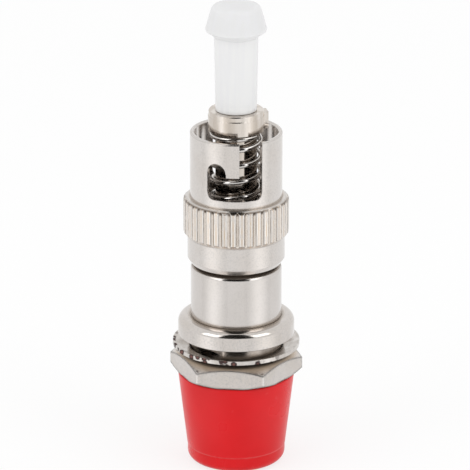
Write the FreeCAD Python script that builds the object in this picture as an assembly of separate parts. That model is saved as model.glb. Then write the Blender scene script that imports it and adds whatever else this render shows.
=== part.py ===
import FreeCAD, Part
import os
from math import asin, atan2, cos, degrees, radians, sin, tan

# Fibre adapter, male bayonet plug above and female threaded socket below, in millimetres.
# Its axis is Z, it stands on the dust cap of the socket at z = 0, and its front faces -Y.
# Angles are degrees from the front towards +X.

# Fits, as radial or axial clearances
push_clearance = 0.02
press_clearance = 0.005
thread_clearance = 0.02
running_clearance = 0.08
skirt_clearance = 0.1
washer_clearance = 0.1
sleeve_float = 0.06
fibre_clearance = 0.0005
seat_gap = 0.02
end_float = 0.1

# Ferrule and fibre
ferrule_diameter = 2.5
ferrule_reach = 7.05
ferrule_chamfer = 0.25
fibre_diameter = 0.125
ferrule_flange_thickness = 1.4

# Split sleeve and its housing
sleeve_wall = 0.345
sleeve_length = 11.0
sleeve_slit = 0.5
sleeve_slit_angle = -47.0
housing_wall = 0.54
housing_lip = 0.6
housing_setback = 0.8
housing_flange_thickness = 0.8
entry_clearance = 0.15

# Threaded socket
thread_diameter = 7.96
threaded_length = 8.085
thread_lead = 0.3
socket_wall = 0.98
socket_depth = 6.2
socket_web = 0.9
spigot_wall = 1.08
flat_depth = 0.53
flat_angle = -47.0
key_slot_width = 2.15
key_slot_depth = 3.0
flange_reach = 1.06
flange_thickness = 1.655
flange_round = 0.6

# Panel nut and dished washer
nut_wall = 1.0
nut_height = 1.99
nut_seat_width = 0.42
nut_back_width = 1.1
nut_chamfer_angle = 27.0
nut_corner_angle = 23.7
washer_width = 1.42
washer_thickness = 0.36
washer_dish = 0.44
panel_space = 0.675

# Dust cap of the socket
socket_cap_length = 8.14
socket_cap_rim_wall = 1.06
socket_cap_foot_wall = 0.29
socket_cap_band_step = 0.04
socket_cap_band_height = 1.45
socket_cap_edge_chamfer = 0.45
socket_cap_rim_chamfer = 0.1
socket_cap_floor = 1.3
socket_cap_shoulder = 0.7
socket_cap_end_gap = 0.15
cap_to_nut_gap = 0.06

# Rear barrel
barrel_length = 4.64
barrel_shoulder = 0.76
barrel_round = 0.25
nose_length = 4.42
nose_wall = 0.845
stop_wall = 0.6

# Plug barrel with its keyed collar
shaft_wall = 0.53
shaft_length = 7.82
tail_step = 0.53
collar_step = 0.63
collar_length = 1.75
collar_lead_length = 0.49
collar_lead_step = 0.05
collar_edge_chamfer = 0.07
key_width = 1.0
key_height = 0.3
key_length = 1.5
key_angle = 103.0

# Bayonet nut
bayonet_bore = 7.15
bayonet_wall = 0.385
bayonet_sleeve_length = 5.85
rim_chamfer = 0.1
knurl_height = 0.58
knurl_length = 3.5
knurl_top_chamfer = 0.28
knurl_top_drop = 0.25
knurl_foot_drop = 0.4
knurl_count = 38
knurl_groove_width = 0.44
knurl_groove_depth = 0.17
knurl_phase = 1.4
ring_step = 0.345
ring_length = 2.41
ring_foot_chamfer = 0.275
ring_foot_drop = 0.45
skirt_gap = 0.33
spring_web = 1.2

# J-slots of the bayonet nut
slot_count = 2
slot_width = 1.95
slot_angle = 19.0
slot_depth = 5.1
slot_corner = 0.65
channel_height = 2.08
hook_width = 1.7
hook_turn = 44.7
hook_depth = 1.84

# Coupling spring
spring_wire = 0.45
spring_shaft_gap = 0.1
spring_closed_turns = 0.6
spring_open_turns = 3.9
spring_top_angle = 50.0
spring_wire_sides = 6
spring_steps_per_turn = 12

# Dust cap of the ferrule
ferrule_cap_length = 9.38
ferrule_cap_wall = 0.5
ferrule_cap_taper = 0.11
ferrule_cap_head_reach = 0.735
ferrule_cap_head_height = 2.35
ferrule_cap_head_land = 0.2
ferrule_cap_head_slope = 0.5
ferrule_cap_head_inset = 0.58
ferrule_cap_top_round = 0.35
ferrule_cap_tip_gap = 0.3

# Straight steps that stand for a turned round
round_steps = 2

full_turn = 360.0
quarter_turn = full_turn / 4
front = -quarter_turn
origin = FreeCAD.Vector(0, 0, 0)
up = FreeCAD.Vector(0, 0, 1)

# Radii that follow from the fits
ferrule_radius = ferrule_diameter / 2
sleeve_radius = ferrule_radius + press_clearance + sleeve_wall
sleeve_pocket_radius = sleeve_radius + sleeve_float
housing_radius = sleeve_pocket_radius + housing_wall
thread_radius = thread_diameter / 2
socket_radius = thread_radius - socket_wall
spigot_pocket_radius = thread_radius - spigot_wall
flange_radius = thread_radius + flange_reach
nut_bore_radius = thread_radius + thread_clearance
shaft_bore_radius = ferrule_radius + press_clearance
shaft_radius = shaft_bore_radius + shaft_wall
tail_radius = shaft_radius + tail_step
tail_pocket_radius = tail_radius + press_clearance
nose_radius = tail_pocket_radius + nose_wall
barrel_radius = nose_radius + barrel_shoulder
collar_radius = shaft_radius + collar_step
bayonet_bore_radius = bayonet_bore / 2
bayonet_radius = bayonet_bore_radius + bayonet_wall
knurl_radius = bayonet_radius + knurl_height
ring_radius = knurl_radius - ring_step
spring_radius = shaft_radius + spring_shaft_gap + spring_wire / 2

# Heights, stacked from the base up
nut_bottom = socket_cap_length + cap_to_nut_gap
nut_top = nut_bottom + nut_height
flange_bottom = nut_top + washer_dish + washer_thickness + panel_space
flange_top = flange_bottom + flange_thickness
barrel_top = flange_top + barrel_length
nose_top = barrel_top + nose_length
collar_bottom = nose_top + shaft_length
collar_top = collar_bottom + collar_length
ferrule_tip = collar_top + ferrule_reach
mouth = flange_bottom - threaded_length
socket_web_bottom = mouth + socket_depth
housing_seat = socket_web_bottom + socket_web
spigot_bottom = housing_seat + housing_flange_thickness
housing_nose = mouth + housing_setback
sleeve_bottom = housing_nose + housing_lip + end_float
sleeve_top = sleeve_bottom + sleeve_length
ferrule_rear = (sleeve_bottom + sleeve_top) / 2
sleeve_pocket_top = sleeve_top + end_float
ferrule_flange_bottom = sleeve_pocket_top + stop_wall
tail_bottom = ferrule_flange_bottom + ferrule_flange_thickness
ring_bottom = barrel_top + skirt_gap
knurl_bottom = ring_bottom + ring_length
knurl_top = knurl_bottom + knurl_length
rim = knurl_top + bayonet_sleeve_length
web_bottom = nose_top + seat_gap
web_top = web_bottom + spring_web
ferrule_cap_bottom = collar_top + seat_gap


def turned(*points):
    """A solid of revolution from its half section, given as (radius, height) corners."""
    corners = [FreeCAD.Vector(radius, 0, height) for radius, height in points]
    section = Part.Face(Part.makePolygon(corners + corners[:1]))
    return section.revolve(origin, up, full_turn)


def round_corners(radius, height, size, lean=0.0):
    """Section corners of the round at an upper outer edge, below which the side leans in by an angle."""
    centre = radius - size * (1 - sin(lean)) / cos(lean)
    corners = []
    for step in range(round_steps + 1):
        turn = lean + (radians(quarter_turn) - lean) * step / round_steps
        corners.append((centre + size * cos(turn), height - size * (1 - sin(turn))))
    return corners


def direction(angle):
    """The unit vector that points outwards at an angle from the front."""
    return FreeCAD.Vector(cos(radians(front + angle)), sin(radians(front + angle)), 0)


def wedge(reach, start, end, low, high):
    """A slice of a disc between two angles from the front and two heights."""
    solid = Part.makeCylinder(reach, high - low, FreeCAD.Vector(0, 0, low), up, end - start)
    solid.rotate(origin, up, front + start)
    return solid


def radial_bar(reach, angle, height, size):
    """A round bar from the axis outwards, as an end mill would cut it."""
    return Part.makeCylinder(size, reach, FreeCAD.Vector(0, 0, height), direction(angle))


def radial_block(inner, outer, width, angle, low, high):
    """An upright block of constant width that points outwards at an angle from the front."""
    block = Part.makeBox(outer - inner, width, high - low, FreeCAD.Vector(inner, -width / 2, low))
    block.rotate(origin, up, front + angle)
    return block


def make_ferrule():
    bore = fibre_diameter / 2 + fibre_clearance
    edge = ferrule_radius - ferrule_chamfer
    return turned(
        (bore, ferrule_rear),
        (edge, ferrule_rear),
        (ferrule_radius, ferrule_rear + ferrule_chamfer),
        (ferrule_radius, ferrule_tip - ferrule_chamfer),
        (edge, ferrule_tip),
        (bore, ferrule_tip),
    )


def make_fibre_stub():
    length = ferrule_tip - ferrule_rear
    return Part.makeCylinder(fibre_diameter / 2, length, FreeCAD.Vector(0, 0, ferrule_rear), up)


def make_ferrule_flange():
    bore = ferrule_radius + press_clearance
    return turned(
        (bore, ferrule_flange_bottom),
        (tail_radius, ferrule_flange_bottom),
        (tail_radius, tail_bottom),
        (bore, tail_bottom),
    )


def make_split_sleeve():
    bore = ferrule_radius + press_clearance
    tube = turned(
        (bore, sleeve_bottom),
        (sleeve_radius, sleeve_bottom),
        (sleeve_radius, sleeve_top),
        (bore, sleeve_top),
    )
    reach = sleeve_radius + sleeve_wall
    slit = radial_block(0, reach, sleeve_slit, sleeve_slit_angle, sleeve_bottom, sleeve_top)
    return tube.cut(slit)


def make_sleeve_housing():
    entry = ferrule_radius + entry_clearance
    pocket_floor = housing_nose + housing_lip
    seat_radius = spigot_pocket_radius - press_clearance
    return turned(
        (entry, housing_nose),
        (housing_radius, housing_nose),
        (housing_radius, housing_seat),
        (seat_radius, housing_seat),
        (seat_radius, spigot_bottom),
        (sleeve_pocket_radius, spigot_bottom),
        (sleeve_pocket_radius, pocket_floor),
        (entry, pocket_floor),
    )


def make_socket_body():
    body = turned(
        (socket_radius, mouth),
        (thread_radius - thread_lead, mouth),
        (thread_radius, mouth + thread_lead),
        (thread_radius, flange_bottom),
        (flange_radius, flange_bottom),
        *round_corners(flange_radius, flange_top, flange_round),
        (spigot_pocket_radius, flange_top),
        (spigot_pocket_radius, housing_seat),
        (housing_radius + press_clearance, housing_seat),
        (housing_radius + press_clearance, socket_web_bottom),
        (socket_radius, socket_web_bottom),
    )
    flat_distance = thread_radius - flat_depth
    flat = radial_block(flat_distance, flange_radius, 2 * thread_radius, flat_angle, mouth, flange_bottom)
    slot_top = mouth + key_slot_depth
    key_slot = radial_block(0, flange_radius, key_slot_width, flat_angle + full_turn / 2, mouth, slot_top)
    return body.cut(flat).cut(key_slot)


def make_panel_nut():
    half_flats = nut_bore_radius + nut_wall
    sixth = full_turn / 6
    corner = half_flats / cos(radians(sixth / 2))
    points = [direction(nut_corner_angle + sixth * side) * corner for side in range(6)]
    hexagon = Part.Face(Part.makePolygon(points + points[:1])).extrude(up * nut_height)
    hexagon.translate(up * nut_bottom)
    slope = tan(radians(nut_chamfer_angle))
    back = nut_bore_radius + nut_back_width
    seat = nut_bore_radius + nut_seat_width
    reach = corner + nut_wall
    chamfered = turned(
        (nut_bore_radius, nut_bottom),
        (back, nut_bottom),
        (reach, nut_bottom + slope * (reach - back)),
        (reach, nut_top - slope * (reach - seat)),
        (seat, nut_top),
        (nut_bore_radius, nut_top),
    )
    return hexagon.common(chamfered)


def make_lock_washer():
    inner = thread_radius + washer_clearance
    outer = inner + washer_width
    rim_bottom = nut_top + washer_dish
    return turned(
        (inner, nut_top),
        (outer, rim_bottom),
        (outer, rim_bottom + washer_thickness),
        (inner, nut_top + washer_thickness),
    )


def make_socket_cap():
    bore = thread_radius + push_clearance
    rim_radius = bore + socket_cap_rim_wall
    foot_radius = bore + socket_cap_foot_wall
    band_radius = foot_radius - socket_cap_band_step
    well = bore - socket_cap_shoulder
    shoulder = mouth - socket_cap_end_gap
    return turned(
        (0, 0),
        (band_radius - socket_cap_edge_chamfer, 0),
        (band_radius, socket_cap_edge_chamfer),
        (band_radius, socket_cap_band_height),
        (foot_radius, socket_cap_band_height),
        (rim_radius, socket_cap_length - socket_cap_rim_chamfer),
        (rim_radius - socket_cap_rim_chamfer, socket_cap_length),
        (bore, socket_cap_length),
        (bore, shoulder),
        (well, shoulder),
        (well, socket_cap_floor),
        (0, socket_cap_floor),
    )


def make_rear_barrel():
    spigot = spigot_pocket_radius - press_clearance
    passage = ferrule_radius + press_clearance
    return turned(
        (sleeve_pocket_radius, spigot_bottom),
        (spigot, spigot_bottom),
        (spigot, flange_top),
        (barrel_radius, flange_top),
        *round_corners(barrel_radius, barrel_top, barrel_round),
        (nose_radius, barrel_top),
        (nose_radius, nose_top),
        (tail_pocket_radius, nose_top),
        (tail_pocket_radius, ferrule_flange_bottom),
        (passage, ferrule_flange_bottom),
        (passage, sleeve_pocket_top),
        (sleeve_pocket_radius, sleeve_pocket_top),
    )


def make_plug_barrel():
    lead_radius = collar_radius - collar_lead_step
    lead_bottom = collar_top - collar_lead_length
    barrel = turned(
        (shaft_bore_radius, tail_bottom),
        (tail_radius, tail_bottom),
        (tail_radius, nose_top),
        (shaft_radius, nose_top),
        (shaft_radius, collar_bottom),
        (collar_radius, collar_bottom),
        (collar_radius, lead_bottom),
        (lead_radius, lead_bottom + collar_lead_step),
        (lead_radius, collar_top - collar_edge_chamfer),
        (lead_radius - collar_edge_chamfer, collar_top),
        (shaft_bore_radius, collar_top),
    )
    key = radial_block(
        shaft_radius,
        collar_radius + key_height,
        key_width,
        key_angle,
        collar_bottom,
        collar_bottom + key_length,
    )
    return barrel.fuse(key).removeSplitter()


def make_knurl_grooves():
    """V-shaped cutters that open to the groove width at the crest of the knurl and reach as far beyond it."""
    root_radius = knurl_radius - knurl_groove_depth
    outer_radius = knurl_radius + knurl_groove_depth
    corners = [
        FreeCAD.Vector(root_radius, 0, knurl_bottom),
        FreeCAD.Vector(outer_radius, -knurl_groove_width, knurl_bottom),
        FreeCAD.Vector(outer_radius, knurl_groove_width, knurl_bottom),
    ]
    groove = Part.Face(Part.makePolygon(corners + corners[:1])).extrude(up * knurl_length)
    grooves = []
    for index in range(knurl_count):
        copy = groove.copy()
        copy.rotate(origin, up, front + knurl_phase + full_turn / knurl_count * index)
        grooves.append(copy)
    return grooves


def make_bayonet_slot(turn):
    """One J-slot: entry from the rim, channel round the sleeve, and the hook that holds the lug."""
    reach = knurl_radius + bayonet_wall
    middle = bayonet_radius - bayonet_wall / 2
    entry_half = degrees(asin(slot_width / 2 / middle))
    hook_half = degrees(asin(hook_width / 2 / middle))
    corner_half = degrees(asin(slot_corner / middle))
    entry = slot_angle + turn
    hook = entry - hook_turn
    entry_side = entry + entry_half
    hook_side = hook - hook_half
    floor = rim - slot_depth
    corner_height = floor + slot_corner
    arch_height = rim - hook_depth - hook_width / 2
    pieces = [
        wedge(reach, entry - entry_half, entry_side, corner_height, rim + slot_width),
        wedge(reach, hook_side + corner_half, entry_side - corner_half, floor, floor + channel_height),
        wedge(reach, hook_side, hook + hook_half, corner_height, arch_height),
        radial_bar(reach, hook, arch_height, hook_width / 2),
        radial_bar(reach, hook_side + corner_half, corner_height, slot_corner),
        radial_bar(reach, entry_side - corner_half, corner_height, slot_corner),
    ]
    return pieces[0].multiFuse(pieces[1:])


def make_bayonet_nut():
    skirt_bore = nose_radius + skirt_clearance
    web_hole = shaft_radius + running_clearance
    foot = ring_radius - ring_foot_chamfer
    shoulder = knurl_radius - knurl_top_chamfer
    nut = turned(
        (skirt_bore, ring_bottom),
        (foot, ring_bottom),
        (ring_radius, ring_bottom + ring_foot_drop),
        (ring_radius, knurl_bottom),
        (knurl_radius, knurl_bottom + knurl_foot_drop),
        (knurl_radius, knurl_top - knurl_top_drop),
        (shoulder, knurl_top),
        (bayonet_radius, knurl_top),
        (bayonet_radius, rim - rim_chamfer),
        (bayonet_radius - rim_chamfer, rim),
        (bayonet_bore_radius + rim_chamfer, rim),
        (bayonet_bore_radius, rim - rim_chamfer),
        (bayonet_bore_radius, web_top),
        (web_hole, web_top),
        (web_hole, web_bottom),
        (skirt_bore, web_bottom),
    )
    slots = [make_bayonet_slot(full_turn / slot_count * index) for index in range(slot_count)]
    return nut.cut(make_knurl_grooves()).cut(slots)


def wire_section(angle, height):
    """The many-sided section of the spring wire at an angle from the front."""
    corners = []
    for index in range(spring_wire_sides + 1):
        around = radians(full_turn * (index + 0.5) / spring_wire_sides)
        reach = spring_radius + spring_wire / 2 * cos(around)
        corners.append(direction(angle) * reach + up * (height + spring_wire / 2 * sin(around)))
    return Part.makePolygon(corners)


def make_coupling_spring():
    low = web_top + spring_wire / 2 + seat_gap
    high = collar_bottom - spring_wire / 2 - seat_gap
    closed_rise = spring_closed_turns * (spring_wire + seat_gap)
    open_rise = high - low - 2 * closed_rise
    runs = [
        (spring_closed_turns, closed_rise),
        (spring_open_turns, open_rise),
        (spring_closed_turns, closed_rise),
    ]
    angle = spring_top_angle - full_turn * (2 * spring_closed_turns + spring_open_turns)
    height = low
    sections = [wire_section(angle, height)]
    for turns, rise in runs:
        steps = round(turns * spring_steps_per_turn)
        for step in range(steps):
            angle += full_turn * turns / steps
            height += rise / steps
            sections.append(wire_section(angle, height))
    return Part.makeLoft(sections, True, True)


def make_ferrule_cap():
    bore = ferrule_radius + push_clearance
    foot = bore + ferrule_cap_wall
    neck = foot + ferrule_cap_taper
    head = neck + ferrule_cap_head_reach
    crown = head - ferrule_cap_head_inset
    top = ferrule_cap_bottom + ferrule_cap_length
    head_bottom = top - ferrule_cap_head_height
    land_top = head_bottom + ferrule_cap_head_land
    lean = atan2(ferrule_cap_head_inset, top - land_top)
    inner_top = ferrule_tip + ferrule_cap_tip_gap
    return turned(
        (bore, ferrule_cap_bottom),
        (foot, ferrule_cap_bottom),
        (neck, head_bottom - ferrule_cap_head_slope),
        (head, head_bottom),
        (head, land_top),
        *round_corners(crown, top, ferrule_cap_top_round, lean),
        (0, top),
        (0, inner_top),
        (bore, inner_top),
    )


pieces = {
    "ferrule": make_ferrule,
    "fibre_stub": make_fibre_stub,
    "ferrule_flange": make_ferrule_flange,
    "split_sleeve": make_split_sleeve,
    "sleeve_housing": make_sleeve_housing,
    "socket_body": make_socket_body,
    "panel_nut": make_panel_nut,
    "lock_washer": make_lock_washer,
    "socket_cap": make_socket_cap,
    "rear_barrel": make_rear_barrel,
    "plug_barrel": make_plug_barrel,
    "bayonet_nut": make_bayonet_nut,
    "coupling_spring": make_coupling_spring,
    "ferrule_cap": make_ferrule_cap,
}

os.makedirs("parts", exist_ok=True)
for node, make in pieces.items():
    shape = make()
    shape.exportStep(f"parts/{node}.step")
    print(node, "solids", len(shape.Solids), "volume", round(shape.Volume, 3), "valid", shape.isValid())
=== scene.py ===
import math
import bmesh
import bpy
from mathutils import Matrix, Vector


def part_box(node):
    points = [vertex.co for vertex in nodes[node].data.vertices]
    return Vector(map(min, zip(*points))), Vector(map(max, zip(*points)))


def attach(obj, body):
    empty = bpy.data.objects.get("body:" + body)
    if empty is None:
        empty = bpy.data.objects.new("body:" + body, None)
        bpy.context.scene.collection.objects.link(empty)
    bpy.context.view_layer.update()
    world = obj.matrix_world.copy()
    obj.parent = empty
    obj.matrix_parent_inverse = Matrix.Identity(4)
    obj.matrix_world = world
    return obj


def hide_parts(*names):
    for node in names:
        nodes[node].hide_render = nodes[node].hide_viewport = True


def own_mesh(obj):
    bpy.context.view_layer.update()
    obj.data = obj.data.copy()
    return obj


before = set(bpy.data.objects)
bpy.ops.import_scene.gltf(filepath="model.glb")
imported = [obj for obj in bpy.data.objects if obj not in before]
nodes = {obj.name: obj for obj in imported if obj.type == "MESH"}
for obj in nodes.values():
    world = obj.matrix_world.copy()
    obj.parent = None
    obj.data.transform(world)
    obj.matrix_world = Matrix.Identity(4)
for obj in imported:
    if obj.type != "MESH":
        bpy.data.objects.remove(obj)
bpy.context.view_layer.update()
mm = 0.001
sharpAngle = 32.0
edgeBend = (0.995, 0.94)    # cosines between a rounded and a true normal, from flat to full edge
print("frame loaded:", len(nodes), "nodes")


# shader helpers: a link goes in as a socket, anything else as a plain value
def feed(node, values):
    for key, value in values.items():
        if isinstance(value, bpy.types.NodeSocket):
            node.id_data.links.new(value, node.inputs[key])
        else:
            node.inputs[key].default_value = value


def put(tree, kind, values=None, **settings):
    node = tree.nodes.new("ShaderNode" + kind)
    for key, value in settings.items():
        setattr(node, key, value)
    feed(node, values or {})
    return node


def startMaterial(name):
    material = bpy.data.materials.new(name)
    material.use_nodes = True
    tree = material.node_tree
    return material, tree, tree.nodes["Principled BSDF"]


# for painting over a material: its tree, its shader and the colour so far
def reopen(material):
    tree = material.node_tree
    shader = tree.nodes["Principled BSDF"]
    return tree, shader, shader.inputs["Base Color"].links[0].from_socket


def placeInMm(tree):
    spot = put(tree, "TexCoord").outputs["Object"]
    return put(tree, "VectorMath", {0: spot, 3: 1 / mm}, operation="SCALE").outputs[0]


def split(tree, place):
    return put(tree, "SeparateXYZ", {0: place}).outputs


def dot(tree, first, second):
    return put(tree, "VectorMath", {0: first, 1: second}, operation="DOT_PRODUCT").outputs["Value"]


def stretch(tree, place, factors):
    return put(tree, "VectorMath", {0: place, 1: factors}, operation="MULTIPLY").outputs[0]


def noise(tree, place, scale, detail=3.0):
    return put(tree, "TexNoise", {"Vector": place, "Scale": scale, "Detail": detail}).outputs["Fac"]


def band(tree, value, low, high, bottom=0.0, top=1.0):
    values = {0: value, 1: low, 2: high, 3: bottom, 4: top}
    return put(tree, "MapRange", values, interpolation_type="SMOOTHSTEP").outputs[0]


def calc(tree, kind, first, second=0.0):
    return put(tree, "Math", {0: first, 1: second}, operation=kind).outputs[0]


def times(tree, product, *factors):
    for factor in factors:
        product = calc(tree, "MULTIPLY", product, factor)
    return product


def offBy(tree, value, middle):
    return calc(tree, "ABSOLUTE", calc(tree, "SUBTRACT", value, middle))


def blend(tree, share, first, second):
    return put(tree, "Mix", {0: share, 6: first, 7: second}, data_type="RGBA").outputs[2]


def bump(tree, look, height, normal=None):
    node = put(tree, "Bump", {"Strength": look["bump"], "Distance": look["bumpDepth"] * mm, "Height": height})
    if normal is not None:
        feed(node, {"Normal": normal})
    return node.outputs[0]


# radius and height only, so that noise on it runs in rings like turning marks
def ringPlace(tree, place):
    parts = split(tree, place)
    square = calc(tree, "ADD", times(tree, parts[0], parts[0]), times(tree, parts[1], parts[1]))
    return put(tree, "CombineXYZ", {0: calc(tree, "SQRT", square), 2: parts[2]}).outputs[0]


# a rounded normal, and 1 on edges, where it leaves the true one
def edgeMask(tree, width):
    soft = put(tree, "Bevel", {"Radius": width * mm}, samples=6).outputs[0]
    true = put(tree, "NewGeometry").outputs["Normal"]
    return soft, band(tree, dot(tree, soft, true), *edgeBend)


# 1 in corners and gaps that are closed in within a reach
def cornerMask(tree, reach, start, end):
    freeShare = put(tree, "AmbientOcclusion", {"Distance": reach * mm}, samples=8).outputs["AO"]
    return band(tree, freeShare, start, end)


# what all the metal has in common; a range is where a mask starts and ends, lengths are in mm
plating = {
    "bright": (0.80, 0.78, 0.76, 1), "lineTone": (0.10, 0.075, 0.055, 1), "fleck": (0.45, 0.435, 0.425, 1),
    "outline": 0.0, "cornerRough": 0.2, "grainShare": 0.4, "bumpDepth": 0.004,
    "cloudDetail": 4.0, "fineDetail": 2.0, "cloudRange": (0.35, 0.65), "grainRange": (0.45, 0.70),
    "cornerRange": (0.92, 0.45), "deepShadeRange": (0.72, 0.45),
    "slopeRange": (0.08, 0.25), "roughRange": (0.7, 1.3),
}


def nickel(name, look):
    material, tree, shader = startMaterial(name)
    place = placeInMm(tree)
    cloud = noise(tree, place, look["cloudScale"], look["cloudDetail"])
    grain = noise(tree, place, look["grainScale"], look["fineDetail"])
    lines = noise(tree, ringPlace(tree, place), look["lineScale"], look["fineDetail"])
    soft, edge = edgeMask(tree, look["edgeWidth"])
    corner = times(tree, cornerMask(tree, look["cornerReach"], *look["cornerRange"]), look["tarnishAndShadeShare"])
    deepShade = times(tree, cornerMask(tree, look["deepShadeReach"], *look["deepShadeRange"]), look["deepShadeShare"])
    colour = blend(tree, band(tree, cloud, *look["cloudRange"]), look["metal"], look["warm"])
    colour = blend(tree, band(tree, grain, *look["grainRange"], 0.0, look["speckle"]), colour, look["fleck"])
    # corners take a tarnish tone, partly patina and partly painted shade, and deep in them a dark painted
    # shade
    colour = blend(tree, corner, colour, look["tarnishAndShade"])
    colour = blend(tree, deepShade, colour, look["lineTone"])
    # edges are painted bright, partly wear and partly a painted highlight, with a dark painted shade line
    # where a slope ends
    colour = blend(tree, times(tree, edge, look["wearAndGlint"]), colour, look["bright"])
    level = calc(tree, "ABSOLUTE", split(tree, soft)[2])
    rim = times(tree, edge, band(tree, level, *look["slopeRange"], look["outline"], look["line"]))
    colour = blend(tree, rim, colour, look["lineTone"])
    # the tarnished and painted-shade corners are duller and rougher than the metal
    rough = calc(tree, "ADD", cloud, lines)
    rough = band(tree, rough, *look["roughRange"], look["roughLow"], look["roughHigh"])
    height = calc(tree, "ADD", times(tree, grain, look["grainShare"]), lines)
    feed(shader, {
        "Base Color": colour,
        "Metallic": band(tree, corner, 0.0, 1.0, 1.0, 1.0 - look["dull"]),
        "Roughness": calc(tree, "ADD", rough, times(tree, corner, look["cornerRough"])),
        "Normal": bump(tree, look, height, soft),
    })
    return material


def dress(name, material):
    nodes[name].data.materials.clear()
    nodes[name].data.materials.append(material)
    for face in nodes[name].data.polygons:
        face.material_index = 0


# points are in mm
def meshPiece(name, points, faces, material, angle=sharpAngle):
    mesh = bpy.data.meshes.new(name)
    mesh.from_pydata([Vector(p) * mm for p in points], [], faces)
    work = bmesh.new()
    work.from_mesh(mesh)
    bmesh.ops.remove_doubles(work, verts=work.verts, dist=1e-7)
    bmesh.ops.recalc_face_normals(work, faces=work.faces)
    work.to_mesh(mesh)
    work.free()
    mesh.shade_smooth()
    mesh.set_sharp_from_angle(angle=math.radians(angle))
    mesh.materials.append(material)
    piece = bpy.data.objects.new(name, mesh)
    bpy.context.scene.collection.objects.link(piece)
    return piece


# part of a round in a turned profile, angles from the outward direction
def arcPoints(radius, z, size, start, end, steps=8):
    turns = [math.radians(start + (end - start) * step / steps) for step in range(steps + 1)]
    return [(radius + size * math.cos(turn), z + size * math.sin(turn)) for turn in turns]


def turnedPiece(name, profile, material, columns=128):
    points, faces = [], []
    count = len(profile)
    for column in range(columns):
        turn = 2 * math.pi * column / columns
        points += [(radius * math.cos(turn), radius * math.sin(turn), z) for radius, z in profile]
        here, there = column * count, (column + 1) % columns * count
        for row in range(count):
            after = (row + 1) % count
            faces.append((here + row, there + row, there + after, here + after))
    return meshPiece(name, points, faces, material)


# angle about the axis, from degrees that count from the front
def frontAngle(degrees):
    return math.radians(degrees - 90.0)


# bayonet nut: satin nickel, tan in the knurl, partly patina and partly painted shade, with painted highlights
bayonetNut = {
    **plating,
    "metal": (0.672, 0.638, 0.609, 1), "warm": (0.646, 0.604, 0.568, 1), "tarnishAndShade": (0.46, 0.37, 0.28, 1),
    "tarnishAndShadeShare": 0.7, "dull": 0.5, "deepShadeShare": 0.7, "speckle": 0.35,
    "wearAndGlint": 0.6, "line": 0.5, "outline": 0.3, "edgeWidth": 0.1, "cornerReach": 0.35, "deepShadeReach": 0.12,
    "cloudScale": 0.35, "grainScale": 9.0, "lineScale": 14.0,
    "roughLow": 0.12, "roughHigh": 0.2, "bump": 0.15,
    # heights and teeth of the knurl, depths from its crest
    "knurlFoot": 20.7, "footFade": 0.3, "knurlTop": 24.2, "topFade": 0.2, "wallDepth": (0.4, 0.3),
    "teeth": 38, "toothPhase": 1.4, "patchScale": 1.3, "patchRange": (0.35, 0.6, 0.35, 1.0),
    "crestTone": (0.82, 0.775, 0.725, 1), "crestShare": 0.95, "crestDepth": (0.02, 0.005),
    "crestDip": 0.7, "dipRange": (0.28, 0.33),
    "grooveTan": (0.56, 0.43, 0.31, 1), "grooveShare": 0.45, "grooveEdge": 0.06,
    "grooveLine": 0.55, "lineDepth": 0.01, "bottomShare": 0.55, "bottomRange": (0.13, 0.06),
    "grimeTop": 0.5, "clumpScale": 1.6, "clumpRange": (0.38, 0.52),
}


def knurledNickel(look):
    material = nickel("nickelBayonet", look)
    tree, shader, colour = reopen(material)
    place = placeInMm(tree)
    parts = split(tree, place)
    ring = split(tree, ringPlace(tree, place))
    radius, height = ring[0], ring[2]
    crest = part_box("bayonet_nut")[1].x / mm
    foot, top = look["knurlFoot"], look["knurlTop"]
    low = band(tree, height, foot, foot + look["footFade"])
    high = band(tree, height, top, top - look["topFade"])
    wall = band(tree, radius, *[crest - depth for depth in look["wallDepth"]])
    inside = times(tree, low, high, wall)
    patches = band(tree, noise(tree, place, look["patchScale"]), *look["patchRange"])
    # pale crests, partly wear and partly a painted highlight; tan grooves, partly patina and partly painted
    # shade
    paleMask = band(tree, radius, *[crest - depth for depth in look["crestDepth"]], 0.0, look["crestShare"])
    colour = blend(tree, times(tree, paleMask, patches, inside), colour, look["crestTone"])
    deep = band(tree, radius, crest - look["grooveEdge"], crest - 2 * look["grooveEdge"])
    colour = blend(tree, times(tree, deep, inside, look["grooveShare"]), colour, look["grooveTan"])
    # painted shade: a dark line on both sides of each groove, just below its edge
    start = band(tree, radius, crest - look["lineDepth"], crest - look["grooveEdge"])
    line = times(tree, start, calc(tree, "SUBTRACT", 1.0, deep), patches, look["grooveLine"], inside)
    colour = blend(tree, line, colour, look["lineTone"])
    # distance from the middle of the nearest groove: a pale painted highlight at its bottom, a tan painted
    # shade line along each crest
    tooth = 2 * math.pi / look["teeth"]
    angle = calc(tree, "SUBTRACT", calc(tree, "ARCTAN2", parts[1], parts[0]), frontAngle(look["toothPhase"]))
    phase = calc(tree, "FRACT", calc(tree, "ADD", calc(tree, "DIVIDE", angle, tooth), 0.5))
    away = times(tree, offBy(tree, phase, 0.5), tooth * crest)
    bottom = band(tree, away, *look["bottomRange"], 0.0, look["bottomShare"])
    colour = blend(tree, times(tree, bottom, inside), colour, look["crestTone"])
    dip = band(tree, away, *look["dipRange"], 0.0, look["crestDip"])
    colour = blend(tree, times(tree, dip, inside, patches), colour, look["grooveTan"])
    # clumps of dirt at the upper ends of the grooves
    end = band(tree, height, top - look["grimeTop"], top - look["grimeTop"] / 2)
    clumps = band(tree, noise(tree, place, look["clumpScale"]), *look["clumpRange"])
    dirt = times(tree, deep, high, end, clumps)
    feed(shader, {"Base Color": blend(tree, dirt, colour, look["lineTone"])})
    return material


dress("bayonet_nut", knurledNickel(bayonetNut))

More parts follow.
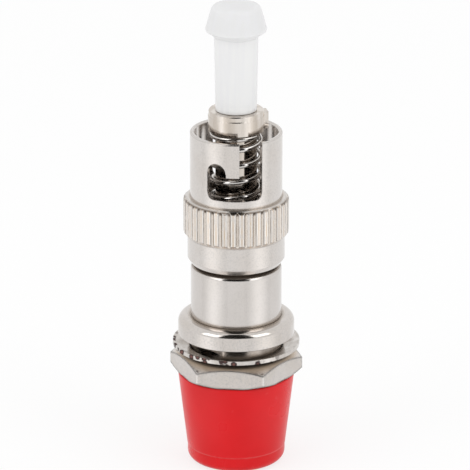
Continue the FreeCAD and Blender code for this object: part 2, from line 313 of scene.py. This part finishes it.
rearBarrel = {
    **plating,
    "metal": (0.64, 0.605, 0.58, 1), "warm": (0.61, 0.575, 0.545, 1), "tarnishAndShade": (0.42, 0.33, 0.25, 1),
    "tarnishAndShadeShare": 0.85, "dull": 0.5, "deepShadeShare": 0.9, "speckle": 0.2,
    "wearAndGlint": 0.5, "line": 0.7, "edgeWidth": 0.12, "cornerReach": 0.6, "deepShadeReach": 0.6,
    "cloudScale": 0.3, "grainScale": 8.0, "lineScale": 16.0,
    "roughLow": 0.11, "roughHigh": 0.18, "bump": 0.15,
}
dress("rear_barrel", nickel("nickelBarrel", rearBarrel))

panelNut = {
    **plating,
    "metal": (0.64, 0.60, 0.57, 1), "warm": (0.61, 0.565, 0.525, 1), "tarnishAndShade": (0.52, 0.41, 0.30, 1),
    "lineTone": (0.03, 0.025, 0.02, 1),
    "tarnishAndShadeShare": 0.9, "dull": 0.6, "deepShadeShare": 0.95, "speckle": 0.55,
    "wearAndGlint": 0.6, "line": 0.75, "edgeWidth": 0.3, "cornerReach": 1.0, "deepShadeReach": 0.6,
    "cloudScale": 0.45, "grainScale": 8.0, "lineScale": 6.0,
    "roughLow": 0.12, "roughHigh": 0.21, "bump": 0.18,
}
dress("panel_nut", nickel("nickelNut", panelNut))

# plug barrel: tan and pale streaks up and down its collar, painted reflections
plugBarrel = {
    **plating,
    "metal": (0.64, 0.59, 0.54, 1), "warm": (0.61, 0.545, 0.475, 1), "tarnishAndShade": (0.42, 0.33, 0.24, 1),
    "bright": (0.80, 0.77, 0.74, 1),
    "tarnishAndShadeShare": 0.1, "dull": 0.3, "deepShadeShare": 0.0, "speckle": 0.12,
    "wearAndGlint": 0.5, "line": 0.28, "edgeWidth": 0.05, "cornerReach": 0.35, "deepShadeReach": 0.12,
    "cloudScale": 0.7, "grainScale": 9.0, "lineScale": 14.0,
    "roughLow": 0.08, "roughHigh": 0.15, "bump": 0.08,
    "streakDark": (0.53, 0.47, 0.41, 1), "streakPale": (0.74, 0.69, 0.64, 1), "streakShare": 0.6,
    "streakScale": 1.1, "streakRun": (1, 1, 0.08), "streakRange": (0.40, 0.60),
}


def reflectionStreakedNickel(look):
    material = nickel("nickelPlug", look)
    tree, shader, clean = reopen(material)
    along = stretch(tree, placeInMm(tree), look["streakRun"])
    paintedStreaks = band(tree, noise(tree, along, look["streakScale"]), *look["streakRange"])
    paintedStreaks = blend(tree, paintedStreaks, look["streakDark"], look["streakPale"])
    feed(shader, {"Base Color": blend(tree, look["streakShare"], clean, paintedStreaks)})
    return material


dress("plug_barrel", reflectionStreakedNickel(plugBarrel))

innerMetal = {
    **plating,
    "metal": (0.62, 0.60, 0.56, 1), "warm": (0.57, 0.53, 0.47, 1), "tarnishAndShade": (0.28, 0.22, 0.15, 1),
    "bright": (0.74, 0.72, 0.68, 1),
    "tarnishAndShadeShare": 0.5, "dull": 0.3, "deepShadeShare": 0.5, "speckle": 0.12,
    "wearAndGlint": 0.4, "line": 0.2, "edgeWidth": 0.04, "cornerReach": 0.4, "deepShadeReach": 0.14,
    "cloudScale": 0.6, "grainScale": 8.0, "lineScale": 12.0,
    "roughLow": 0.22, "roughHigh": 0.35, "bump": 0.12,
}
innerNickel = nickel("nickelInner", innerMetal)
dress("sleeve_housing", innerNickel)
dress("ferrule_flange", innerNickel)
print("nickel pieces dressed")

# dished washer, rust spots round the front left of its rim
washer = {
    **plating,
    "metal": (0.66, 0.63, 0.60, 1), "warm": (0.58, 0.54, 0.50, 1), "tarnishAndShade": (0.38, 0.28, 0.20, 1),
    "bright": (0.82, 0.80, 0.78, 1),
    "tarnishAndShadeShare": 0.4, "dull": 0.4, "deepShadeShare": 0.6, "speckle": 0.15,
    "wearAndGlint": 0.4, "line": 0.3, "edgeWidth": 0.04, "cornerReach": 0.4, "deepShadeReach": 0.14,
    "cloudScale": 0.8, "grainScale": 8.0, "lineScale": 9.0,
    "roughLow": 0.14, "roughHigh": 0.24, "bump": 0.15,
    "rust": (0.03, 0.012, 0.010, 1), "rustEdge": (0.15, 0.055, 0.042, 1), "rustRough": 0.5,
    "rustScale": 1.7, "raggedScale": 6.0, "raggedShare": 0.35, "spotRange": (0.70, 0.58),
    "coreRange": (0.34, 0.50), "rustFrom": 5.2, "rustFade": 0.15,
    "rustSide": (-0.55, -0.85, 0), "sideRange": (0.5, 3.2, 0.10, 1.0),
}


def rustyWasher(look):
    material = nickel("washerSteel", look)
    tree, shader, clean = reopen(material)
    smooth = shader.inputs["Roughness"].links[0].from_socket
    place = placeInMm(tree)
    cells = put(tree, "TexVoronoi", {"Vector": place, "Scale": look["rustScale"], "Randomness": 1.0})
    frayed = times(tree, noise(tree, place, look["raggedScale"]), look["raggedShare"])
    ragged = calc(tree, "ADD", cells.outputs["Distance"], frayed)
    # most of the rust lies to the front left, a little elsewhere
    share = band(tree, dot(tree, place, look["rustSide"]), *look["sideRange"])
    radius = split(tree, ringPlace(tree, place))[0]
    rim = band(tree, radius, look["rustFrom"], look["rustFrom"] + look["rustFade"])
    patch = times(tree, band(tree, ragged, *look["spotRange"]), share, rim)
    colour = blend(tree, band(tree, ragged, *look["coreRange"]), look["rustEdge"], look["rust"])
    feed(shader, {
        "Base Color": blend(tree, patch, clean, colour),
        "Metallic": calc(tree, "SUBTRACT", 1.0, patch),
        "Roughness": calc(tree, "ADD", smooth, times(tree, patch, look["rustRough"])),
    })
    return material


dress("lock_washer", rustyWasher(washer))

# ceramic ferrule and split sleeve
ceramic = {
    "white": (0.86, 0.85, 0.81, 1), "cream": (0.80, 0.78, 0.72, 1), "scale": 0.9, "cloudDetail": 4.0,
    "cloudRange": (0.35, 0.65), "edgeWidth": 0.03, "edgeTone": (0.93, 0.92, 0.90, 1), "edgeShare": 0.4,
    "roughRange": (0.3, 0.7, 0.12, 0.22), "subsurface": 0.15, "subsurfaceScale": 0.3,
    "lineScale": 20.0, "lineDetail": 2.0, "bump": 0.05, "bumpDepth": 0.002,
}


def ceramicMaterial(look):
    material, tree, shader = startMaterial("ceramic")
    place = placeInMm(tree)
    cloud = noise(tree, place, look["scale"], look["cloudDetail"])
    lines = noise(tree, ringPlace(tree, place), look["lineScale"], look["lineDetail"])
    soft, edge = edgeMask(tree, look["edgeWidth"])
    colour = blend(tree, band(tree, cloud, *look["cloudRange"]), look["white"], look["cream"])
    feed(shader, {
        "Base Color": blend(tree, times(tree, edge, look["edgeShare"]), colour, look["edgeTone"]),
        "Roughness": band(tree, cloud, *look["roughRange"]),
        "Subsurface Weight": look["subsurface"],
        "Subsurface Scale": look["subsurfaceScale"] * mm,
        "Normal": bump(tree, look, lines, soft),
    })
    return material


ceramicLook = ceramicMaterial(ceramic)
dress("ferrule", ceramicLook)
dress("split_sleeve", ceramicLook)

fibre = {
    "clear": (0.90, 0.94, 0.96, 1), "tint": (0.80, 0.88, 0.92, 1), "scale": 5.0,
    "roughRange": (0.3, 0.7, 0.03, 0.10), "transmission": 0.6, "bump": 0.05, "bumpDepth": 0.001,
}


def fibreMaterial(look):
    material, tree, shader = startMaterial("fibreGlass")
    cloud = noise(tree, placeInMm(tree), look["scale"])
    feed(shader, {
        "Base Color": blend(tree, cloud, look["clear"], look["tint"]),
        "Roughness": band(tree, cloud, *look["roughRange"]),
        "Transmission Weight": look["transmission"],
        "Normal": bump(tree, look, cloud),
    })
    return material


dress("fibre_stub", fibreMaterial(fibre))

# red cap of the socket: soft satin plastic, paler where it is scuffed, with painted highlights on its edges
# and round its band
redCap = {
    "red": (0.695, 0.006, 0.010, 1), "deep": (0.645, 0.005, 0.008, 1), "scuffAndGlint": (0.72, 0.12, 0.12, 1),
    "cloudScale": 0.25, "cloudRange": (0.3, 0.7), "roughLow": 0.26, "roughHigh": 0.36,
    "scuffScale": 1.3, "scuffDetail": 8.0, "scuffRange": (0.66, 0.76, 0.0, 0.25),
    "edgeWidth": 0.10, "edgeShare": 0.35, "bandGlintShare": 0.3, "bandGlintRange": (0.12, 0.03),
    "glintBreakScale": 0.5, "glintBreakRange": (0.4, 0.6, 0.3, 1.0),
    "specular": 0.2, "sheen": 0.1, "subsurface": 0.1, "subsurfaceScale": 0.4,
    "fineScale": 22.0, "fineDetail": 2.0, "bump": 0.12, "bumpDepth": 0.006,
    # profile
    "foot": 4.29, "step": 0.04, "edgeRound": 0.75, "bandTop": 1.45, "rimRound": 0.12, "rimSteps": 4,
    "bore": 4.0, "shoulder": 3.43, "well": 3.3, "floorTop": 1.3,
}


def redPlastic(look):
    material, tree, shader = startMaterial("redPlastic")
    place = placeInMm(tree)
    cloud = noise(tree, place, look["cloudScale"])
    flecks = noise(tree, place, look["scuffScale"], look["scuffDetail"])
    fine = noise(tree, place, look["fineScale"], look["fineDetail"])
    soft, edge = edgeMask(tree, look["edgeWidth"])
    colour = blend(tree, band(tree, cloud, *look["cloudRange"]), look["red"], look["deep"])
    colour = blend(tree, band(tree, flecks, *look["scuffRange"]), colour, look["scuffAndGlint"])
    # edges painted paler: partly scuffs, partly a painted highlight
    colour = blend(tree, times(tree, edge, look["edgeShare"]), colour, look["scuffAndGlint"])
    # painted highlight: a pale line where the band round the foot ends, broken in patches
    near = offBy(tree, split(tree, place)[2], look["bandTop"])
    paleMask = band(tree, noise(tree, place, look["glintBreakScale"]), *look["glintBreakRange"])
    ring = times(tree, band(tree, near, *look["bandGlintRange"], 0.0, look["bandGlintShare"]), paleMask)
    feed(shader, {
        "Base Color": blend(tree, ring, colour, look["scuffAndGlint"]),
        "Roughness": band(tree, cloud, *look["cloudRange"], look["roughLow"], look["roughHigh"]),
        "Specular IOR Level": look["specular"],
        "Sheen Weight": look["sheen"],
        "Subsurface Weight": look["subsurface"],
        "Subsurface Scale": look["subsurfaceScale"] * mm,
        "Normal": bump(tree, look, fine, soft),
    })
    return material


def makeRedCap(look):
    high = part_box("socket_cap")[1]
    rim, top = high.x / mm, high.z / mm
    bandRadius = look["foot"] - look["step"]
    edge, lip, steps = look["edgeRound"], look["rimRound"], look["rimSteps"]
    profile = [(0, 0)] + arcPoints(bandRadius - edge, edge, edge, -90, 0)
    profile += [(bandRadius, look["bandTop"] - look["step"]), (look["foot"], look["bandTop"])]
    profile += arcPoints(rim - lip, top - lip, lip, 0, 90, steps)
    profile += arcPoints(look["bore"] + lip, top - lip, lip, 90, 180, steps)
    profile += [(look["bore"], look["shoulder"]), (look["well"], look["shoulder"])]
    profile += [(look["well"], look["floorTop"]), (0, look["floorTop"])]
    material = redPlastic(look)
    dress("socket_cap", material)
    cap = turnedPiece("redDustCap", profile, material)
    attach(cap, "socket_cap")
    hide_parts("socket_cap")


makeRedCap(redCap)

# white cap of the ferrule: translucent, nearly even
whiteCap = {
    "white": (0.822, 0.822, 0.815, 1), "grey": (0.803, 0.803, 0.803, 1), "headShadeTone": (0.755, 0.755, 0.757, 1),
    "cloudScale": 0.3, "cloudRange": (0.3, 0.7), "roughLow": 0.34, "roughHigh": 0.46,
    "headFade": 0.4, "footHighlightTone": (0.96, 0.96, 0.95, 1), "footReach": 0.8,
    "paintedStreakTone": (0.77, 0.77, 0.79, 1), "streakScale": 2.2, "streakRun": (1, 1, 0.04),
    "streakRange": (0.45, 0.65, 0.0, 0.4),
    "edgeWidth": 0.12, "edgeShare": 0.2, "edgeTone": (0.84, 0.84, 0.84, 1),
    "specular": 0.2, "subsurface": 0.3, "subsurfaceScale": 1.0,
    "fineScale": 18.0, "fineDetail": 2.0, "bump": 0.08, "bumpDepth": 0.006,
    # profile
    "foot": 1.77, "footRound": 0.02, "neck": 1.88, "slope": 0.5, "headHeight": 2.35, "land": 0.2,
    "headRound": 0.1, "headTuck": -60, "roundSteps": 4,
    "crown": 2.035, "crownRound": 0.55, "crownDrop": 0.12, "bore": 1.27, "innerTop": 39.3,
}


def whitePlastic(look):
    material, tree, shader = startMaterial("whitePlastic")
    place = placeInMm(tree)
    height = split(tree, place)[2]
    cloud = noise(tree, place, look["cloudScale"])
    fine = noise(tree, place, look["fineScale"], look["fineDetail"])
    soft, edge = edgeMask(tree, look["edgeWidth"])
    low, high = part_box("ferrule_cap")
    colour = blend(tree, band(tree, cloud, *look["cloudRange"]), look["white"], look["grey"])
    # painted shade: the solid head is painted greyer than the neck, which has the ferrule inside, against the
    # extra light the head catches
    headBottom = high.z / mm - look["headHeight"]
    head = band(tree, height, headBottom - look["slope"], headBottom + look["headFade"])
    colour = blend(tree, head, colour, look["headShadeTone"])
    # painted highlight: the thin foot is painted paler where it meets the collar
    footBottom = low.z / mm
    foot = band(tree, height, footBottom + look["footReach"], footBottom)
    colour = blend(tree, foot, colour, look["footHighlightTone"])
    # painted streaks, standing for the ferrule seen through the plastic
    along = stretch(tree, place, look["streakRun"])
    paintedStreaks = band(tree, noise(tree, along, look["streakScale"]), *look["streakRange"])
    colour = blend(tree, paintedStreaks, colour, look["paintedStreakTone"])
    feed(shader, {
        "Base Color": blend(tree, times(tree, edge, look["edgeShare"]), colour, look["edgeTone"]),
        "Roughness": band(tree, cloud, *look["cloudRange"], look["roughLow"], look["roughHigh"]),
        "Specular IOR Level": look["specular"],
        "Subsurface Weight": look["subsurface"],
        "Subsurface Radius": (1, 1, 1),
        "Subsurface Scale": look["subsurfaceScale"] * mm,
        "Normal": bump(tree, look, fine, soft),
    })
    return material


def makeWhiteCap(look):
    low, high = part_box("ferrule_cap")
    bottom, head = low.z / mm, high.x / mm
    top = high.z / mm - look["crownDrop"]
    headBottom = high.z / mm - look["headHeight"]
    landTop = headBottom + look["land"]
    lean = math.atan2(head - look["crown"], top - landTop)
    size, foot, corner, steps = look["crownRound"], look["footRound"], look["headRound"], look["roundSteps"]
    reach = look["crown"] - size * (1 - math.sin(lean)) / math.cos(lean)
    profile = arcPoints(look["foot"] - foot, bottom + foot, foot, -90, 0, steps)
    profile += [(look["neck"], headBottom - look["slope"])]
    profile += arcPoints(head - corner, headBottom + corner, corner, look["headTuck"], 0, steps)
    profile += [(head, landTop)]
    profile += arcPoints(reach, top - size, size, math.degrees(lean), 90) + [(0, top)]
    profile += [(0, look["innerTop"]), (look["bore"], look["innerTop"]), (look["bore"], bottom)]
    material = whitePlastic(look)
    dress("ferrule_cap", material)
    cap = turnedPiece("whiteDustCap", profile, material)
    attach(cap, "ferrule_cap")
    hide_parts("ferrule_cap")


makeWhiteCap(whiteCap)
print("plastics, ceramic and washer dressed")

# threaded socket with its helical thread, flat and key slot
socket = {
    **plating,
    "metal": (0.635, 0.595, 0.565, 1), "warm": (0.605, 0.56, 0.52, 1), "tarnishAndShade": (0.56, 0.46, 0.36, 1),
    "tarnishAndShadeShare": 0.85, "dull": 0.9, "deepShadeShare": 0.9, "speckle": 0.5,
    "wearAndGlint": 0.5, "line": 0.3, "edgeWidth": 0.05, "cornerReach": 0.6, "deepShadeReach": 0.8,
    "cloudScale": 0.4, "grainScale": 8.0, "lineScale": 14.0,
    "roughLow": 0.1, "roughHigh": 0.17, "bump": 0.15,
    # thread, its form and rows in shares of a turn
    "thread": 3.98, "pitch": 0.75, "depth": 0.44, "lead": 0.3, "plainNeck": 1.1, "runOut": 0.4,
    "crestEnd": 0.125, "rootStart": 0.4375, "rootEnd": 0.6875, "columns": 192, "spareTurns": 3,
    "breaks": (0.0, 0.0625, 0.125, 0.28, 0.4375, 0.5625, 0.6875, 0.84),
    # flange and bores, then flat and key slot
    "shelf": 11.665, "edge": 0.04, "round": 0.6,
    "bore": 3.0, "web": 9.78, "seat": 10.68, "hole": 2.205, "pocket": 2.9,
    "flat": 3.45, "flatAngle": -47.0, "flatLimit": 0.5,
    "keyWidth": 2.15, "keyDepth": 3.0, "keyFrom": 1.0, "keySpare": 1.0,
}


def threadRadius(look, mouth, turn, z):
    along = ((z - mouth) / look["pitch"] - turn / (2 * math.pi)) % 1.0
    flank = look["rootStart"] - look["crestEnd"]
    if along < look["crestEnd"]:
        groove = 0.0
    elif along < look["rootStart"]:
        groove = (along - look["crestEnd"]) / flank
    elif along < look["rootEnd"]:
        groove = 1.0
    else:
        groove = (1.0 - along) / flank
    fade = min(1.0, max(0.0, (look["shelf"] - look["plainNeck"] - z) / look["runOut"]))
    radius = look["thread"] - look["depth"] * groove * fade
    radius = min(radius, look["thread"] - look["lead"] + (z - mouth))
    away = math.cos(turn - frontAngle(look["flatAngle"]))
    if away > look["flatLimit"]:
        radius = min(radius, look["flat"] / away)
    return radius


# flange and bores, from the shelf under the flange round to the mouth
def socketSection(look, mouth, top, flange):
    edge, reach = look["edge"], look["round"]
    shape = [(flange - edge, look["shelf"]), (flange, look["shelf"] + edge)]
    shape += arcPoints(flange - reach, top - reach, reach, 0, 90)
    shape += [(look["pocket"], top), (look["pocket"], look["seat"]), (look["hole"], look["seat"])]
    shape += [(look["hole"], look["web"]), (look["bore"], look["web"])]
    return shape + [(look["bore"], mouth + edge), (look["bore"] + edge, mouth)]


def cutKeySlot(body, look, mouth, material):
    slot = frontAngle(look["flatAngle"] + 180.0)
    start, out, half = look["keyFrom"], look["thread"] + look["keySpare"], look["keyWidth"] / 2
    base = [(start, -half), (out, -half), (out, half), (start, half)]
    across, up = math.cos(slot), math.sin(slot)
    spun = [(x * across - y * up, x * up + y * across) for x, y in base]
    corners = [(x, y, z) for z in (mouth - look["keySpare"], mouth + look["keyDepth"]) for x, y in spun]
    sides = [(0, 3, 2, 1), (4, 5, 6, 7), (0, 1, 5, 4), (1, 2, 6, 5), (2, 3, 7, 6), (3, 0, 4, 7)]
    cutter = meshPiece("slotCutter", corners, sides, material)
    cut = body.modifiers.new("slot", "BOOLEAN")
    cut.object, cut.operation, cut.solver = cutter, "DIFFERENCE", "EXACT"
    shaped = bpy.data.meshes.new_from_object(body.evaluated_get(bpy.context.evaluated_depsgraph_get()))
    body.modifiers.clear()
    body.data = shaped
    bpy.data.objects.remove(cutter)
    shaped.set_sharp_from_angle(angle=math.radians(sharpAngle))


def makeSocket(look):
    low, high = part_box("socket_body")
    mouth, top, flange = low.z / mm, high.z / mm, high.x / mm
    breaks, columns = look["breaks"], look["columns"]
    turns = int((look["shelf"] - mouth) / look["pitch"]) + look["spareTurns"]
    threadRows = turns * len(breaks)
    shape = socketSection(look, mouth, top, flange)
    rows = threadRows + len(shape)
    points, faces = [], []
    for column in range(columns):
        turn = 2 * math.pi * column / columns
        ring = []
        for row in range(threadRows):
            # the rows climb with the thread, from one turn below the mouth
            along = row // len(breaks) - 1 + breaks[row % len(breaks)] + column / columns
            z = min(max(mouth + look["pitch"] * along, mouth), look["shelf"])
            ring.append((threadRadius(look, mouth, turn, z), z))
        points += [(radius * math.cos(turn), radius * math.sin(turn), z) for radius, z in ring + shape]
    for column in range(columns):
        after = (column + 1) % columns
        here, there = column * rows, after * rows
        shift = len(breaks) if after == 0 else 0    # the last column meets the first a turn higher
        for row in range(rows):
            below = (row + 1) % rows
            slid = [min(k + shift, threadRows - 1) if k < threadRows else k for k in (row, below)]
            faces.append((here + row, there + slid[0], there + slid[1], here + below))
    material = nickel("nickelSocket", look)
    dress("socket_body", material)
    body = meshPiece("threadedSocket", points, faces, material)
    cutKeySlot(body, look, mouth, material)
    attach(body, "adapter")
    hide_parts("socket_body")


makeSocket(socket)

# coupling spring: round wire, closed ends
spring = {
    **plating,
    "metal": (0.66, 0.635, 0.615, 1), "warm": (0.60, 0.57, 0.54, 1), "tarnishAndShade": (0.22, 0.18, 0.14, 1),
    "bright": (0.78, 0.76, 0.75, 1),
    "tarnishAndShadeShare": 0.5, "dull": 0.2, "deepShadeShare": 0.5, "speckle": 0.10,
    "wearAndGlint": 0.3, "line": 0.0, "edgeWidth": 0.03, "cornerReach": 0.3, "deepShadeReach": 0.1,
    "cloudScale": 0.8, "grainScale": 10.0, "lineScale": 9.0,
    "roughLow": 0.12, "roughHigh": 0.22, "bump": 0.08,
    "wire": 0.45, "radius": 2.11, "closedTurns": 0.6, "openTurns": 3.9, "closedPitch": 0.47,
    "topAngle": 50.0, "stepsPerTurn": 56, "sides": 18, "sharpAngle": 50.0, "travel": 2.5,
}


def makeSpring(look):
    low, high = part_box("coupling_spring")
    wire, sides, pitch = look["wire"] / 2, look["sides"], look["closedPitch"]
    bottom, top = low.z / mm + wire, high.z / mm - wire
    turns = 2 * look["closedTurns"] + look["openTurns"]
    closed = look["closedTurns"] * pitch
    first = look["topAngle"] - 360.0 * turns
    count = round(turns * look["stepsPerTurn"])
    points, faces = [], []
    for step in range(count + 1):
        wound = turns * step / count
        if wound < look["closedTurns"]:
            z = bottom + wound * pitch
        elif wound < turns - look["closedTurns"]:
            share = (wound - look["closedTurns"]) / look["openTurns"]
            z = bottom + closed + share * (top - bottom - 2 * closed)
        else:
            z = top - (turns - wound) * pitch
        turn = frontAngle(first + 360.0 * wound)
        for side in range(sides):
            around = 2 * math.pi * side / sides
            reach = look["radius"] + wire * math.cos(around)
            points.append((reach * math.cos(turn), reach * math.sin(turn), z + wire * math.sin(around)))
    for step in range(count):
        here, there = step * sides, (step + 1) * sides
        for side in range(sides):
            after = (side + 1) % sides
            faces.append((here + side, there + side, there + after, here + after))
    faces.append(tuple(range(sides)))
    faces.append(tuple(count * sides + side for side in reversed(range(sides))))
    material = nickel("springSteel", look)
    dress("coupling_spring", material)
    coil = meshPiece("springCoil", points, faces, material, look["sharpAngle"])
    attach(coil, "spring")
    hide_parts("coupling_spring")
    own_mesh(coil)


makeSpring(spring)
print("socket thread and spring built")

# pale floor and soft light all round; a dark card and two glowing strips are there only for the metal to
# mirror, the strips as painted reflections of brighter floor
studio = {
    "light": 0.88, "paperScale": 0.02, "paperRough": 0.9,
    "floor": (0.95, 0.95, 0.95, 1), "floorFar": (0.97, 0.97, 0.97, 1), "floorWhite": 0.75,
    "floorHalf": 1.0, "floorLevel": -0.02 * mm,
    "sidePower": 0.46, "sideSize": 0.32, "sideAway": 0.46, "sideTurn": 55.0, "sideHeight": 0.34,
    "sideAim": 0.02,
    "card": (0.012, 0.011, 0.010, 1), "cardFleck": (0.02, 0.018, 0.016, 1), "cardSteps": 8,
    "cardAway": 0.24, "cardSpread": 34.0, "cardLow": 9.0, "cardHigh": 84.0, "cardBase": 0.02,
    "cardTop": 0.05,
    "stripTurn": 57.0, "stripHalf": 36.0, "stripNear": 0.010, "stripFar": 0.22, "stripLevel": 0.1 * mm,
    "stripEdge": 0.95, "stripGlow": 1.32,
}


# points are in metres
def makeSheet(name, points, faces, material):
    mesh = bpy.data.meshes.new(name)
    mesh.from_pydata(points, [], faces)
    mesh.materials.append(material)
    sheet = bpy.data.objects.new(name, mesh)
    bpy.context.scene.collection.objects.link(sheet)
    return sheet


def mirrorOnly(sheet):
    sheet.visible_camera = sheet.visible_diffuse = sheet.visible_shadow = sheet.visible_transmission = False


def paperMaterial(name, look, first, second):
    material, tree, shader = startMaterial(name)
    cloud = noise(tree, placeInMm(tree), look["paperScale"])
    feed(shader, {
        "Base Color": blend(tree, cloud, first, second),
        "Roughness": look["paperRough"],
        "Specular IOR Level": 0.0,
    })
    return material


# glowing strip that only mirrors see, a painted reflection, brightest along its middle
def mirrorGlowMaterial(look):
    material, tree, shader = startMaterial("mirrorGlowStrip")
    parts = split(tree, placeInMm(tree))
    turn = calc(tree, "ABSOLUTE", calc(tree, "ARCTAN2", parts[0], times(tree, parts[1], -1.0)))
    off = offBy(tree, turn, math.radians(look["stripTurn"]))
    strength = band(tree, off, math.radians(look["stripHalf"]), 0.0, look["stripEdge"], look["stripGlow"])
    glow = put(tree, "Emission", {"Color": (1, 1, 1, 1), "Strength": strength}).outputs[0]
    feed(tree.nodes["Material Output"], {"Surface": glow})
    tree.nodes.remove(shader)
    return material


# 1 where the camera, a mirror or a clear piece looks at it, 0 where it only lights
def seenShare(tree):
    path = put(tree, "LightPath").outputs
    mirrored = calc(tree, "MAXIMUM", path["Is Glossy Ray"], path["Is Transmission Ray"])
    return calc(tree, "MAXIMUM", path["Is Camera Ray"], mirrored)


def makeRoom(look):
    world = bpy.data.worlds.new("softRoom")
    world.use_nodes = True
    room = world.node_tree
    strength = band(room, seenShare(room), 0.0, 1.0, look["light"], 1.0)
    feed(room.nodes["Background"], {"Color": (1, 1, 1, 1), "Strength": strength})
    bpy.context.scene.world = world


# part of the floor is plain white where it is seen, the rest keeps the shadow
def layFloor(look):
    paper = paperMaterial("paleFloor", look, look["floor"], look["floorFar"])
    tree = paper.node_tree
    white = put(tree, "Emission", {"Color": (1, 1, 1, 1), "Strength": 1.0}).outputs[0]
    share = times(tree, seenShare(tree), look["floorWhite"])
    mixed = put(tree, "MixShader", {0: share, 1: tree.nodes["Principled BSDF"].outputs[0], 2: white})
    feed(tree.nodes["Material Output"], {"Surface": mixed.outputs[0]})
    half, level = look["floorHalf"], look["floorLevel"]
    corners = [(-half, -half, level), (half, -half, level), (half, half, level), (-half, half, level)]
    makeSheet("floor", corners, [(0, 1, 2, 3)], paper)


# the card bends over the object, from the camera's height to overhead
def hangCard(look):
    dark = paperMaterial("darkCard", look, look["card"], look["cardFleck"])
    steps, spread = look["cardSteps"], math.tan(math.radians(look["cardSpread"]))
    points, faces = [], []
    for step in range(steps + 1):
        rise = math.radians(look["cardLow"] + (look["cardHigh"] - look["cardLow"]) * step / steps)
        away, up = look["cardAway"] * math.cos(rise), look["cardBase"] + look["cardAway"] * math.sin(rise)
        half = max(away, look["cardTop"]) * spread
        points += [(-half, -away, up), (half, -away, up)]
        if step:
            faces.append((2 * step - 2, 2 * step - 1, 2 * step + 1, 2 * step))
    mirrorOnly(makeSheet("cameraCard", points, faces, dark))


# glowing strips on the floor that only mirrors see: painted reflections that show as soft bands up the round
# walls
def layMirrorGlowStrips(look):
    mirrorGlow = mirrorGlowMaterial(look)
    for name, side in (("leftMirrorGlow", -1), ("rightMirrorGlow", 1)):
        points = []
        for away in (look["stripNear"], look["stripFar"]):
            for shift in (-look["stripHalf"], look["stripHalf"]):
                around = frontAngle(side * (look["stripTurn"] + shift))
                points.append((away * math.cos(around), away * math.sin(around), look["stripLevel"]))
        mirrorOnly(makeSheet(name, points, [(0, 1, 3, 2)], mirrorGlow))


def hangLamps(look):
    for name, side in (("leftSoftbox", -1), ("rightSoftbox", 1)):
        lamp = bpy.data.lights.new(name, "AREA")
        lamp.size, lamp.energy = look["sideSize"], look["sidePower"]
        box = bpy.data.objects.new(name, lamp)
        around, away = frontAngle(side * look["sideTurn"]), look["sideAway"]
        box.location = (away * math.cos(around), away * math.sin(around), look["sideHeight"])
        aim = Vector((0, 0, look["sideAim"])) - box.location
        box.rotation_euler = aim.to_track_quat("-Z", "Y").to_euler()
        bpy.context.scene.collection.objects.link(box)


bpy.context.scene.view_settings.view_transform = "Standard"
makeRoom(studio)
layFloor(studio)
hangCard(studio)
layMirrorGlowStrips(studio)
hangLamps(studio)

# camera about 20 degrees above the axis' middle, shifts in picture widths
view = {
    "distance": 0.35, "rise": 20.0, "aim": 0.0205, "lens": 311.2, "sensor": 36.0,
    "shiftX": -1.2 / 470, "shiftY": 0.5 / 470,
}
lens = bpy.data.cameras.new("photoCamera")
lens.lens, lens.sensor_width = view["lens"], view["sensor"]
lens.shift_x, lens.shift_y = view["shiftX"], view["shiftY"]
camera = bpy.data.objects.new("photoCamera", lens)
tilt = math.radians(view["rise"])
camera.location = (0, -view["distance"] * math.cos(tilt), view["aim"] + view["distance"] * math.sin(tilt))
camera.rotation_euler = (math.radians(90.0) - tilt, 0, 0)
bpy.context.scene.collection.objects.link(camera)
bpy.context.scene.camera = camera
print("studio and camera set")
